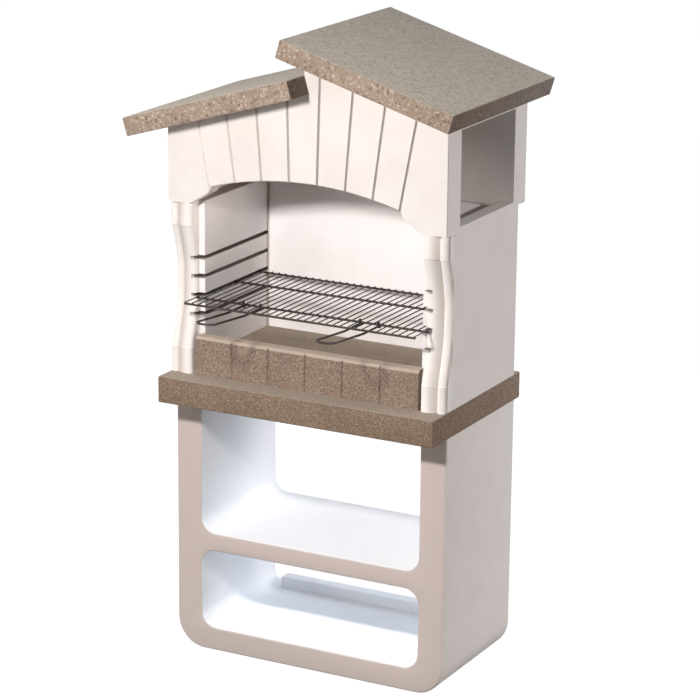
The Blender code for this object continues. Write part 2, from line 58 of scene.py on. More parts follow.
# Slabs
worktop_edge_radius = 0.004
roof_edge_radius = 0.004
slab_edge_segments = 3
slab_smooth_angle = 35
roof_slope = math.radians(16.5)
roof_slab_length = 0.593
roof_slab_thickness = 0.058

# Columns
column_recess = 0.034
column_foot_height = 0.084
column_head_height = 0.074
column_upper_sweep_share = 0.415
column_lower_sweep_share = 0.470
column_lower_power = 1.3
column_inner_radius = 0.012
column_inner_steps = 6
column_round_width = 0.034
column_round_depth = 0.0125
column_round_steps = 12
column_score_depth = 0.0015
column_bead_width = 0.0265
column_bead_height = 0.0125
column_bead_setback = 0.006
column_bead_lean_share = 0.36
column_bead_steps = 17
column_side_gap = 0.001
column_quirk_depth = 0.004
column_quirk_width = 0.008
column_hollow = 0.006
column_ledge_depth = 0.0025
column_neck_height = 0.007
column_neck_depth = 0.008
column_neck_narrowing = 0.0015
column_ring_count = 271
column_smooth_angle = 30

# Grooves for the grill
groove_count = 4
groove_height = 0.014
groove_depth = 0.040
groove_pitch = 0.0595
groove_lowest = 0.178

# Ember guard
guard_edge_radius = 0.012
guard_brick_count = 6
guard_joint_width = 0.008
guard_joint_depth = 0.004
guard_edge_segments = 8
guard_smooth_angle = 30

# Grill
wire_radius = 0.0035
bar_radius = 0.0019
bar_solid_radius = 0.0025
bar_count = 33
wire_sides = 14
bar_sides = 10
weld_radius = 0.0030
weld_sink = 0.0006
grill_depth = 0.453
handle_corner_radius = 0.027
handle_rise = 0.016
handle_corner_steps = 12
hook_turns = 1.25
hook_steps = 40
wire_smooth_angle = 50

# Patterns in the finishes, with their sizes in millimetres
paint_cloud_size = 160
paint_grain_size = 6
paint_trowel_size = 55
liner_cloud_size = 180
liner_pore_size = 7
worktop_grit_size = 4.2
roof_grit_size = 8.5
fire_grit_size = 4.6
granulate_patch_size = 120
granulate_dust_share = 0.9
wire_scale_size = 18

# How far soot, weathering, painted shade and painted highlights reach, and how strongly they show
groove_soot_and_shade_reach = 0.022
liner_soot_and_shade_depth = 0.010
liner_corner_soot_and_shade_share = 0.75
# Where the painted shade in the plank joints begins, and where it is full
joint_shade_start_place = -0.36
joint_shade_full_place = 0.04
# How strongly the painted shade shows in the columns' hollows
hollow_shade_share = 0.52
# How strongly the weathered tops show, which are also lighter as painted light from above
weathered_and_lit_share = 0.55
weathered_fleck = 0.85
# How strongly the painted highlight shows on the ember guard's top
top_highlight_share = 0.75
# How strongly the painted shade shows on the slab ends
slab_end_shade_share = 0.62

# How much of each kind of grain there is, as the share of all grains at which the kind begins
grit_shares = (0.0, 0.25, 0.55, 0.80, 0.94)
roof_grit_shares = (0.0, 0.18, 0.50, 0.78, 0.94)

# Camera, fitted to the photograph, with its angles in degrees
camera_azimuth = 27.9319
camera_elevation = 15.9476
camera_roll = 0.5727
camera_target = (0.150955, -0.25781, 1.06837)
camera_distance = 8.783225
camera_focal_pixels = 2924.17
camera_picture_pixels = 700
camera_sensor_millimetres = 36
camera_clip_end = 200

# Each lamp has a place, a point that it faces, a level, a size and a colour
lamps = {
    "front lamp": ((-0.05, -2.15, 2.3), (0, -0.2, 1.4), 0.88, 0.20, "#FFFAF8"),
    "side lamp": ((9.4, 2.4, 3.6), (0.4, 0, 1.1), 0.35, 3.0, "#FFF3EC"),
    "left fill": ((-4.0, -6.0, 1.2), (0, 0, 1.1), 0.19, 3.0, "#FFFAF8"),
    "left lamp": ((-9.4, 1.6, 3.4), (-0.4, 0, 1.1), 0.32, 3.0, "#FFFAF8"),
    "rear lamp": ((0.9, 2.6, 1.5), (0, 0, 0.5), 0.56, 2.4, "#DCEBFF"),
}

# Surroundings: the level of the sky from straight below, at 0, to straight above, at 1
sky_levels = ((0.0, 0.03), (0.48, 0.04), (0.62, 0.06), (1.0, 0.30))
floor_glow = 0.93
floor_reach = 30
floor_drop = 0.001

# How far a cutter reaches past the casting that it cuts, and the cutters in use
overrun = 0.010
cutters = []


# Small helpers

def linear(hex_colour):
    """A linear RGBA colour from an sRGB hex value."""
    channels = [int(hex_colour[place:place + 2], 16) / 255 for place in (1, 3, 5)]
    return (*[c / 12.92 if c <= 0.04045 else ((c + 0.055) / 1.055) ** 2.4 for c in channels], 1.0)


def grey(level):
    """A neutral colour of one level."""
    return (level, level, level, 1.0)


def greys(start, end, first=0.0, second=1.0):
    """The stops of a ramp that goes from one grey to another between two places."""
    return [(start, grey(first)), (end, grey(second))]


def add_node(tree, kind, inputs=(), stops=(), between="LINEAR", **settings):
    """Add a node with its settings and links, and return its outputs.

    Each input, by its order or by its name, is a value or the socket that feeds it. Stops are the
    places and colours of a colour ramp, and between is how it passes from one to the next.
    """
    made = tree.nodes.new(kind)
    for key, value in settings.items():
        setattr(made, key, value)
    for key, value in inputs.items() if isinstance(inputs, dict) else enumerate(inputs):
        if isinstance(value, bpy.types.NodeSocket):
            tree.links.new(value, made.inputs[key])
        else:
            made.inputs[key].default_value = value
    if stops:
        made.color_ramp.interpolation = between
        elements = made.color_ramp.elements
        while len(elements) < len(stops):
            elements.new(0.5)
        for element, (place, colour) in zip(elements, stops):
            element.position = place
            element.color = colour
    return made.outputs


def product(tree, first, *others):
    """The product of several values in a tree, so for shares, where all of them hold."""
    for value in others:
        first = add_node(tree, "ShaderNodeMath", [first, value], operation="MULTIPLY")[0]
    return first


def placed(name, data):
    """A new object for some data, linked to the scene."""
    item = bpy.data.objects.new(name, data)
    bpy.context.scene.collection.objects.link(item)
    return item


def repaint(mesh, finish):
    """Give a mesh one material only."""
    mesh.materials.clear()
    mesh.materials.append(finish)


def finish_piece(mesh, name, finish, body, nodes, smooth_angle):
    """Make a finished mesh a piece that rides on a body and stands for its solids."""
    mesh.name = name
    mesh.shade_smooth()
    mesh.set_sharp_from_angle(angle=math.radians(smooth_angle))
    repaint(mesh, finish)
    piece = placed(name, mesh)
    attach(piece, body)
    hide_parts(*nodes)


def plain_mesh(mesh_edit, name="shape"):
    """A plain mesh from a bmesh, just as it is."""
    mesh = bpy.data.meshes.new(name)
    mesh_edit.to_mesh(mesh)
    mesh_edit.free()
    return mesh


def mesh_from(mesh_edit):
    """A plain mesh from a bmesh, with its faces outwards."""
    bmesh.ops.remove_doubles(mesh_edit, verts=mesh_edit.verts, dist=gap / 10)
    bmesh.ops.recalc_face_normals(mesh_edit, faces=mesh_edit.faces)
    return plain_mesh(mesh_edit)


def add_loft(mesh_edit, rings):
    """Add a closed body through rings of points."""
    loops = [[mesh_edit.verts.new(point) for point in ring] for ring in rings]
    mesh_edit.faces.new(list(reversed(loops[0])))
    mesh_edit.faces.new(loops[-1])
    for first, second in zip(loops, loops[1:]):
        for index in range(len(first)):
            following = (index + 1) % len(first)
            mesh_edit.faces.new((first[index], first[following], second[following], second[index]))


def add_prism(mesh_edit, outline, start, end):
    """Add a closed prism from an outline in XZ, between two places along Y."""
    add_loft(mesh_edit, [[(x, place, z) for x, z in outline] for place in (start, end)])


def rectangle(low, high):
    """The outline in XZ of a box between two corners."""
    return [(low[0], low[2]), (high[0], low[2]), (high[0], high[2]), (low[0], high[2])]


def add_box(mesh_edit, low, high):
    """Add a closed box between two corners."""
    add_prism(mesh_edit, rectangle(low, high), low[1], high[1])


def joined(meshes):
    """One mesh made of several."""
    mesh_edit = bmesh.new()
    for mesh in meshes:
        mesh_edit.from_mesh(mesh)
    return plain_mesh(mesh_edit)


def path_mesh(paths, closed=False):
    """A mesh of edges only, with one chain for each list of points."""
    mesh_edit = bmesh.new()
    for points in paths:
        chain = [mesh_edit.verts.new(point) for point in points]
        followers = chain[1:] + (chain[:1] if closed else [])
        for first, second in zip(chain, followers):
            mesh_edit.edges.new((first, second))
    return plain_mesh(mesh_edit)


def round_edges(mesh_edit, wanted, radius, segments):
    """Round the edges for which wanted(a, b) is true of their ends."""
    bmesh.ops.recalc_face_normals(mesh_edit, faces=mesh_edit.faces)
    edges = [edge for edge in mesh_edit.edges if wanted(edge.verts[0].co, edge.verts[1].co)]
    bmesh.ops.bevel(mesh_edit, geom=edges, offset=radius, offset_type="OFFSET", segments=segments,
                    profile=0.5, affect="EDGES", clamp_overlap=False)


def both_at(a, b, axis, value):
    """True where both ends of an edge lie in the plane axis = value."""
    return abs(a[axis] - value) < gap / 2 and abs(b[axis] - value) < gap / 2


def arc(centre, radius, start, end, steps):
    """Points along an arc whose angles are in quarter turns."""
    points = []
    for step in range(steps + 1):
        angle = (start + (end - start) * step / steps) * math.pi / 2
        points.append((centre[0] + radius * math.cos(angle), centre[1] + radius * math.sin(angle)))
    return points


# Geometry Nodes

def new_tree(name, sockets):
    """A Geometry Nodes tree with a geometry input and output and the named inputs."""
    tree = bpy.data.node_groups.new(name, "GeometryNodeTree")
    tree.interface.new_socket(name="Geometry", in_out="OUTPUT", socket_type="NodeSocketGeometry")
    tree.interface.new_socket(name="Geometry", in_out="INPUT", socket_type="NodeSocketGeometry")
    for label, kind in sockets.items():
        tree.interface.new_socket(name=label, in_out="INPUT", socket_type="NodeSocket" + kind)
    return tree, add_node(tree, "NodeGroupInput")


def close_tree(tree, geometry, finish):
    """End a tree in Realize Instances and Set Material."""
    realized = add_node(tree, "GeometryNodeRealizeInstances", [geometry])[0]
    painted = add_node(tree, "GeometryNodeSetMaterial", {"Geometry": realized, "Material": finish})[0]
    add_node(tree, "NodeGroupOutput", [painted])


def grow(tree, start_mesh, values):
    """Run a tree over a mesh and return the result as a plain mesh."""
    holder = placed("growing", start_mesh)
    step = holder.modifiers.new("grow", "NODES")
    step.node_group = tree
    for item in tree.interface.items_tree:
        if item.item_type == "SOCKET" and item.in_out == "INPUT" and item.name in values:
            step[item.identifier] = values[item.name]
    graph = bpy.context.evaluated_depsgraph_get()
    mesh = bpy.data.meshes.new_from_object(holder.evaluated_get(graph))
    bpy.data.objects.remove(holder)
    return mesh


def cutter_object(mesh_edit):
    """A hidden object that a tree cuts with."""
    cutter = placed("cutter", mesh_from(mesh_edit))
    cutters.append(cutter)
    return cutter


def copies_in_a_row(tree, given, shape):
    """Copies of a shape in a straight row, a step apart."""
    row = add_node(tree, "GeometryNodeMeshLine", {
        "Count": given["Count"], "Start Location": given["Start"], "Offset": given["Step"]},
        mode="OFFSET")[0]
    return add_node(tree, "GeometryNodeInstanceOnPoints", {"Points": row, "Instance": shape})[0]


def round_rod(tree, given, path):
    """A closed round rod along a path."""
    ring = add_node(tree, "GeometryNodeCurvePrimitiveCircle", {
        "Resolution": given["Sides"], "Radius": given["Radius"]})[0]
    return add_node(tree, "GeometryNodeCurveToMesh", {
        "Curve": path, "Profile Curve": ring, "Fill Caps": True})[0]


def cutting_tree():
    """Cut one shape out of a casting again and again, a step apart."""
    tree, given = new_tree("repeated cuts", {
        "Cutter": "Object", "Count": "Int", "Start": "Vector", "Step": "Vector", "Finish": "Material"})
    cutter = add_node(tree, "GeometryNodeObjectInfo", {"Object": given["Cutter"]})["Geometry"]
    row = add_node(tree, "GeometryNodeRealizeInstances", [copies_in_a_row(tree, given, cutter)])[0]
    cut = add_node(tree, "GeometryNodeMeshBoolean", [given["Geometry"], row],
                   operation="DIFFERENCE", solver="EXACT")[0]
    close_tree(tree, cut, given["Finish"])
    return tree


def column_tree():
    """Sweep a section up a column whose front leans back between its foot and its head."""
    measures = ("Low", "High", "Rear", "Recess", "Foot", "Waist", "Lower Power", "Head", "Shoulder",
                "Ledge", "Neck", "Neck Depth", "Middle", "Narrowing", "Outer Side", "Hollow")
    tree, given = new_tree("swept column", {
        **{measure: "Float" for measure in measures}, "Rings": "Int", "Finish": "Material"})
    start, end = (add_node(tree, "ShaderNodeCombineXYZ", {"Z": given[height]})[0]
                  for height in ("Low", "High"))
    line = add_node(tree, "GeometryNodeCurvePrimitiveLine", {"Start": start, "End": end})[0]
    line = add_node(tree, "GeometryNodeResampleCurve", {"Curve": line, "Count": given["Rings"]})[0]
    section = add_node(tree, "GeometryNodeMeshToCurve", {"Mesh": given["Geometry"]})[0]
    shaft = add_node(tree, "GeometryNodeCurveToMesh", {
        "Curve": line, "Profile Curve": section, "Fill Caps": True})[0]
    place = add_node(tree, "ShaderNodeSeparateXYZ", [add_node(tree, "GeometryNodeInputPosition")[0]])

    # Each sweep is the sine of an angle that grows to a quarter turn, where the bend is full
    sweeps = []
    for near, far in (("Foot", "Waist"), ("Head", "Shoulder")):
        angle = add_node(tree, "ShaderNodeMapRange", {
            "Value": place["Z"], "From Min": given[near], "From Max": given[far],
            "To Max": math.pi / 2})[0]
        sweeps.append(add_node(tree, "ShaderNodeMath", [angle], operation="SINE")[0])
    lower = add_node(tree, "ShaderNodeMath", [sweeps[0], given["Lower Power"]], operation="POWER")[0]
    bend = add_node(tree, "ShaderNodeMath", [lower, sweeps[1]], operation="MINIMUM")[0]

    # The front goes back by the bend, by the ledge of the shaft and by the neck below the hood
    in_shaft = add_node(tree, "ShaderNodeMath", [bend, 0.0], operation="GREATER_THAN")[0]
    in_neck = add_node(tree, "ShaderNodeMath", [place["Z"], given["Neck"]], operation="GREATER_THAN")[0]
    back = product(tree, bend, given["Recess"])
    for where, depth in ((in_neck, "Neck Depth"), (in_shaft, "Ledge")):
        back = add_node(tree, "ShaderNodeMath", [where, given[depth], back], operation="MULTIPLY_ADD")[0]

    # It stops short of the rear face, which stays flat
    room = add_node(tree, "ShaderNodeMath", [given["Rear"], place["Y"]], operation="SUBTRACT")[0]
    room = add_node(tree, "ShaderNodeMath", [room, 0.0], operation="MAXIMUM")[0]
    back = add_node(tree, "ShaderNodeMath", [back, room], operation="MINIMUM")[0]

    # The outer side is hollowed with the bend, and the neck is narrowed from both sides
    in_front = add_node(tree, "ShaderNodeMath", [room, 0.0], operation="GREATER_THAN")[0]
    on_side = add_node(tree, "ShaderNodeMath", [place["X"], given["Outer Side"], gap],
                       operation="COMPARE")[0]
    inward = product(tree, in_front, on_side, given["Hollow"], bend)
    to_middle = add_node(tree, "ShaderNodeMath", [given["Middle"], place["X"]], operation="SUBTRACT")[0]
    narrowed = product(tree, in_neck, given["Narrowing"], to_middle)
    aside = add_node(tree, "ShaderNodeMath", [inward, narrowed], operation="ADD")[0]
    offset = add_node(tree, "ShaderNodeCombineXYZ", {"X": aside, "Y": back})[0]
    swept = add_node(tree, "GeometryNodeSetPosition", {"Geometry": shaft, "Offset": offset})[0]
    close_tree(tree, swept, given["Finish"])
    return tree


def row_of_bars_tree():
    """Lay straight round bars side by side, a step apart."""
    tree, given = new_tree("row of bars", {
        "Count": "Int", "Start": "Vector", "Step": "Vector", "Length": "Float", "Radius": "Float",
        "Sides": "Int", "Finish": "Material"})
    start, end = (add_node(tree, "ShaderNodeCombineXYZ", {"Y": product(tree, given["Length"], share)})[0]
                  for share in (-0.5, 0.5))
    axis = add_node(tree, "GeometryNodeCurvePrimitiveLine", {"Start": start, "End": end})[0]
    close_tree(tree, copies_in_a_row(tree, given, round_rod(tree, given, axis)), given["Finish"])
    return tree


def bent_wire_tree():
    """Give every path in a mesh of edges the thickness of a round wire."""
    tree, given = new_tree("bent wire", {"Radius": "Float", "Sides": "Int", "Finish": "Material"})
    path = add_node(tree, "GeometryNodeMeshToCurve", {"Mesh": given["Geometry"]})[0]
    close_tree(tree, round_rod(tree, given, path), given["Finish"])
    return tree


def weld_tree():
    """Put a small weld bead where each bar crosses each wire."""
    tree, given = new_tree("weld beads", {
        "Count": "Int", "Step": "Vector", "Radius": "Float", "Finish": "Material"})
    row = add_node(tree, "GeometryNodeMeshLine", {"Count": given["Count"], "Offset": given["Step"]},
                   mode="OFFSET")[0]
    rows = add_node(tree, "GeometryNodeInstanceOnPoints", {
        "Points": given["Geometry"], "Instance": row})[0]
    crossings = add_node(tree, "GeometryNodeRealizeInstances", [rows])[0]
    bead = add_node(tree, "GeometryNodeMeshIcoSphere", {"Radius": given["Radius"], "Subdivisions": 2})[0]
    beads = add_node(tree, "GeometryNodeInstanceOnPoints", {"Points": crossings, "Instance": bead})[0]
    close_tree(tree, beads, given["Finish"])
    return tree


# Finishes, in which a mix node has its two colours at sockets 6 and 7 and gives the mixed one at 2

def new_finish(name):
    """A material with its shader, its tree and the place on the piece."""
    finish = bpy.data.materials.new(name)
    finish.use_nodes = True
    tree = finish.node_tree
    shader = tree.nodes["Principled BSDF"]
    place = add_node(tree, "ShaderNodeTexCoord")["Object"]
    return finish, tree, shader, place


def per_metre(millimetres):
    """A pattern's scale from the size of one of its features."""
    return 1000 / millimetres


def clouded(tree, place, size, roughness, tones):
    """A colour that drifts between two tones in soft clouds of a size in millimetres."""
    clouds = add_node(tree, "ShaderNodeTexNoise", {
        "Vector": place, "Scale": per_metre(size), "Detail": 3.0, "Roughness": roughness})[0]
    share = add_node(tree, "ShaderNodeValToRGB", [clouds], greys(0.35, 0.70))[0]
    first, second = (linear(tone) for tone in tones)
    return add_node(tree, "ShaderNodeMix", {0: share, 6: first, 7: second}, data_type="RGBA")[2]


def layered(tree, place, colour, layers):
    """A colour with other tones laid over it, each as far as its own function says."""
    for where, tone in layers:
        colour = add_node(tree, "ShaderNodeMix", {0: where(tree, place), 6: colour, 7: linear(tone)},
                          data_type="RGBA")[2]
    return colour


def dress(tree, shader, colour, surface, roughness, specular):
    """Give a matt shader its colour and its surface."""
    tree.links.new(colour, shader.inputs["Base Color"])
    tree.links.new(surface, shader.inputs["Normal"])
    shader.inputs["Roughness"].default_value = roughness
    shader.inputs["Specular IOR Level"].default_value = specular


def facing(tree):
    """The X, Y and Z of the direction that the surface faces."""
    return add_node(tree, "ShaderNodeSeparateXYZ", [add_node(tree, "ShaderNodeNewGeometry")["Normal"]])


def facing_aside(tree):
    """How squarely the surface faces to either side."""
    return add_node(tree, "ShaderNodeMath", [facing(tree)["X"]], operation="ABSOLUTE")[0]


def distance_aside(tree, place):
    """How far the place lies from the middle of the barbecue, to either side."""
    across = add_node(tree, "ShaderNodeSeparateXYZ", [place])["X"]
    return add_node(tree, "ShaderNodeMath", [across], operation="ABSOLUTE")[0]


# How far each other tone of a finish shows, from the place on the piece and where it faces

def inside_the_base(tree, place):
    """Between the side walls of the base."""
    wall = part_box("base_lower_right_wall")[0].x + gap
    return add_node(tree, "ShaderNodeMath", [distance_aside(tree, place), wall], operation="LESS_THAN")[0]


def front_faces_painted_shade(tree, place):
    """On faces that look forward, wherever they are: painted shade, a darker tone where less light falls.
    """
    forward = product(tree, facing(tree)["Y"], -1.0)
    return add_node(tree, "ShaderNodeValToRGB", [forward], greys(0.55, 0.92))[0]


def in_plank_joints(tree, place):
    """Painted shade on the slanted faces of the joints between planks, less so towards the left, where the
    light comes from.
    """
    slanted = add_node(tree, "ShaderNodeValToRGB", [facing_aside(tree)],
                       greys(0.5, 0.8) + greys(0.95, 0.98, 1.0, 0.0))[0]
    across = add_node(tree, "ShaderNodeSeparateXYZ", [place])["X"]
    spread = add_node(tree, "ShaderNodeMapRange", [across, joint_shade_start_place, joint_shade_full_place])[0]
    return product(tree, slanted, spread)


def column_hollow_painted_shade(tree, place):
    """Painted shade on the round part of a column, from its crown to the score line beside the bead, where
    the round turns from the light.
    """
    aside = distance_aside(tree, place)
    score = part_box("right_column")[1].x - column_side_gap - column_bead_width
    from_crown = add_node(tree, "ShaderNodeMapRange", [aside, score - column_round_width, score])[0]
    beside_bead = add_node(tree, "ShaderNodeMath", [aside, score + gap], operation="LESS_THAN")[0]
    return product(tree, from_crown, beside_bead, hollow_shade_share)


def in_groove_mouths(tree, place):
    """Soot and painted shade in the notches where the grooves run out through the columns, near the
    liners.
    """
    height = add_node(tree, "ShaderNodeSeparateXYZ", [place])["Z"]
    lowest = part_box("worktop_slab")[1].z + groove_lowest - gap
    above = add_node(tree, "ShaderNodeMath", [height, lowest], operation="SUBTRACT")[0]
    within = add_node(tree, "ShaderNodeMath", [above, groove_pitch], operation="MODULO")[0]
    limits = ((within, "LESS_THAN", groove_height + 2 * gap), (above, "GREATER_THAN", 0.0),
              (above, "LESS_THAN", groove_pitch * groove_count),
              (distance_aside(tree, place), "LESS_THAN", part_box("right_liner")[0].x + groove_soot_and_shade_reach))
    return product(tree, *(add_node(tree, "ShaderNodeMath", [measure, limit], operation=side)[0]
                           for measure, side, limit in limits))


def past_chamber_face(tree, place):
    """How far the place lies beyond the inner faces of the side liners, to either side."""
    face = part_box("back_liner")[1].x
    return add_node(tree, "ShaderNodeMath", [distance_aside(tree, place), face], operation="SUBTRACT")[0]


def in_liner_grooves(tree, place):
    """Soot and painted shade deep in the liners' grooves, from behind their front edge to the back liner.
    """
    behind = add_node(tree, "ShaderNodeSeparateXYZ", [place])["Y"]
    edge, back = (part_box(node)[0].y + gap for node in ("right_liner", "back_liner"))
    behind_edge = add_node(tree, "ShaderNodeMath", [behind, edge], operation="GREATER_THAN")[0]
    before_back = add_node(tree, "ShaderNodeMath", [behind, back], operation="LESS_THAN")[0]
    depth = product(tree, past_chamber_face(tree, place), 1 / liner_soot_and_shade_depth, behind_edge, before_back)
    return add_node(tree, "ShaderNodeValToRGB", [depth], greys(0.15, 0.9))[0]


def in_back_corners(tree, place):
    """Soot and painted shade close to the corners where the side liners meet the back liner."""
    behind = add_node(tree, "ShaderNodeSeparateXYZ", [place])["Y"]
    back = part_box("back_liner")[0].y
    behind = add_node(tree, "ShaderNodeMath", [behind, back], operation="SUBTRACT")[0]
    away = add_node(tree, "ShaderNodeCombineXYZ", {"X": past_chamber_face(tree, place), "Y": behind})[0]
    away = add_node(tree, "ShaderNodeVectorMath", [away], operation="LENGTH")["Value"]
    away = product(tree, away, 1 / liner_soot_and_shade_depth)
    return add_node(tree, "ShaderNodeValToRGB", [away],
                    greys(0.25, 0.85, liner_corner_soot_and_shade_share, 0.0))[0]


def top_painted_highlight(tree, place):
    """Painted highlight on the top and the rounded upper edge, lighter where the surface faces up."""
    return add_node(tree, "ShaderNodeValToRGB", [facing(tree)["Z"]],
                    greys(0.15, 0.45, 0.0, top_highlight_share))[0]


def slab_ends_painted_shade(tree, place):
    """Painted shade on the ends of a slab, to the left and right."""
    return add_node(tree, "ShaderNodeValToRGB", [facing_aside(tree)],
                    greys(0.55, 0.85, 0.0, slab_end_shade_share))[0]


def masonry_paint(name, tones, layers=()):
    """Matt masonry paint rolled over smooth cement render.

    The eye gets a soft, nearly even white with faint clouds where the coat is thinner and a
    barely raised roller grain, drawn coarser than its real millimetre so that it shows.
    """
    finish, tree, shader, place = new_finish(name)
    # Layers laid over the paint can carry painted shade and painted light
    colour = layered(tree, place, clouded(tree, place, paint_cloud_size, 0.55, tones), layers)
    grain = add_node(tree, "ShaderNodeTexNoise", {
        "Vector": place, "Scale": per_metre(paint_grain_size), "Detail": 4.0, "Roughness": 0.6})[0]
    trowel = add_node(tree, "ShaderNodeTexNoise", {
        "Vector": place, "Scale": per_metre(paint_trowel_size), "Detail": 2.0})[0]
    rolled = add_node(tree, "ShaderNodeBump", {"Height": grain, "Strength": 0.25, "Distance": 0.0004})[0]
    surface = add_node(tree, "ShaderNodeBump", {
        "Height": trowel, "Strength": 0.2, "Distance": 0.0010, "Normal": rolled})[0]
    dress(tree, shader, colour, surface, roughness=0.72, specular=0.3)
    return finish


def liner_concrete(name, tones, layers):
    """Pale refractory concrete cast in smooth moulds, painted once and since touched by smoke.

    The eye gets clean off-white slabs, with soot and painted shade deep in the grooves and in the
    corners where two slabs meet.
    """
    finish, tree, shader, place = new_finish(name)
    colour = layered(tree, place, clouded(tree, place, liner_cloud_size, 0.5, tones), layers)
    pores = add_node(tree, "ShaderNodeTexNoise", {
        "Vector": place, "Scale": per_metre(liner_pore_size), "Detail": 4.0, "Roughness": 0.6})[0]
    surface = add_node(tree, "ShaderNodeBump", {"Height": pores, "Strength": 0.3, "Distance": 0.0005})[0]
    dress(tree, shader, colour, surface, roughness=0.8, specular=0.25)
    return finish


def washed_granulate(name, cement, grits, grit_size, shares=grit_shares, weathered_lit_tone=None, layers=()):
    """Concrete whose skin was washed off so that the stone grit stands out.

    The eye gets an even speckle of tan, brown, cream and dark grains, each a low dome in a
    duller cement bed. The grains are drawn at 4 to 9 mm, a little over size, so that they show.
    Tops are greyer from the weather, with darker flecks, and lighter as painted light from above.
    """
    finish, tree, shader, place = new_finish(name)
    grains = add_node(tree, "ShaderNodeTexVoronoi", {
        "Vector": place, "Scale": per_metre(grit_size), "Randomness": 1.0}, feature="F1")
    chance = add_node(tree, "ShaderNodeSeparateColor", [grains["Color"]])
    stones = add_node(tree, "ShaderNodeValToRGB", [chance[0]], between="CONSTANT",
                      stops=[(share, linear(grit)) for share, grit in zip(shares, grits)])[0]
    bed = add_node(tree, "ShaderNodeValToRGB", [grains["Distance"]], greys(0.42, 0.62))[0]
    colour = add_node(tree, "ShaderNodeMix", {0: bed, 6: stones, 7: linear(cement)}, data_type="RGBA")[2]

    # Broad patches and fine dust, each paler and darker than the mean
    for size, detail, stops in ((granulate_patch_size, 3.0, greys(0.3, 0.7, 0.90, 1.08)),
                                (grit_size * granulate_dust_share, 2.0, greys(0.35, 0.65, 0.88, 1.10))):
        mottle = add_node(tree, "ShaderNodeTexNoise", {
            "Vector": place, "Scale": per_metre(size), "Detail": detail})[0]
        tint = add_node(tree, "ShaderNodeValToRGB", [mottle], stops)[0]
        colour = add_node(tree, "ShaderNodeMix", {0: 1.0, 6: colour, 7: tint},
                          data_type="RGBA", blend_type="MULTIPLY")[2]
    # Upward faces get a greyer weathered tone that is also lighter, as painted light from above
    if weathered_lit_tone:
        upward = add_node(tree, "ShaderNodeValToRGB", [facing(tree)["Z"]], greys(0.45, 0.85))[0]
        flecks = add_node(tree, "ShaderNodeValToRGB", [chance[1]], greys(0.0, 0.3, weathered_fleck),
                          between="CONSTANT")[0]
        greyed = add_node(tree, "ShaderNodeMix", {0: weathered_and_lit_share, 6: colour, 7: linear(weathered_lit_tone)},
                          data_type="RGBA")[2]
        flecked = add_node(tree, "ShaderNodeMix", {0: 1.0, 6: greyed, 7: flecks},
                           data_type="RGBA", blend_type="MULTIPLY")[2]
        colour = add_node(tree, "ShaderNodeMix", {0: upward, 6: colour, 7: flecked}, data_type="RGBA")[2]
    # Layers laid over here can carry painted shade and painted highlights
    colour = layered(tree, place, colour, layers)
    domes = add_node(tree, "ShaderNodeMath", [1.0, grains["Distance"]], operation="SUBTRACT")[0]
    surface = add_node(tree, "ShaderNodeBump", {"Height": domes, "Strength": 0.40, "Distance": 0.0010})[0]
    dress(tree, shader, colour, surface, roughness=0.86, specular=0.35)
    return finish


def drawn_wire(name):
    """Mild steel wire, drawn and then darkened by heat.

    The eye gets a nearly black brown-grey with a dull metallic glint and faint uneven scale.
    """
    finish, tree, shader, place = new_finish(name)
    scale_marks = add_node(tree, "ShaderNodeTexNoise", {
        "Vector": place, "Scale": per_metre(wire_scale_size), "Detail": 4.0, "Roughness": 0.6})[0]
    colour = add_node(tree, "ShaderNodeValToRGB", [scale_marks],
                      [(0.35, linear("#3C3735")), (0.70, linear("#5A534F"))])[0]
    tree.links.new(colour, shader.inputs["Base Color"])
    dullness = add_node(tree, "ShaderNodeValToRGB", [scale_marks], greys(0.3, 0.7, 0.42, 0.62))[0]
    tree.links.new(dullness, shader.inputs["Roughness"])
    shader.inputs["Metallic"].default_value = 0.85
    return finish


# Pieces

def masonry_box(node):
    """The two corners of a solid as tuples."""
    low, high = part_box(node)
    return tuple(low), tuple(high)


def base_casting(name, node, outline, joint_heights, finish):
    """One casting of the base, with soft front and rear edges that stop at its bed joints."""
    low, high = masonry_box(node)
    mesh_edit = bmesh.new()
    add_prism(mesh_edit, outline, low[1], high[1])

    def is_arris(a, b):
        """True of an edge on the front or rear that doesn't lie in a bed joint."""
        on_face = both_at(a, b, 1, low[1]) or both_at(a, b, 1, high[1])
        return on_face and not any(both_at(a, b, 2, height) for height in joint_heights)

    round_edges(mesh_edit, is_arris, base_edge_radius, base_edge_segments)
    finish_piece(mesh_from(mesh_edit), name, finish, "masonry", [node], base_smooth_angle)


def symmetric(half):
    """An outline from its right half, without doubled points."""
    points = half + [(-x, z) for x, z in reversed(half)]
    kept = []
    for point in points:
        if not kept or math.dist(point, kept[-1]) > gap / 2:
            kept.append(point)
    return kept


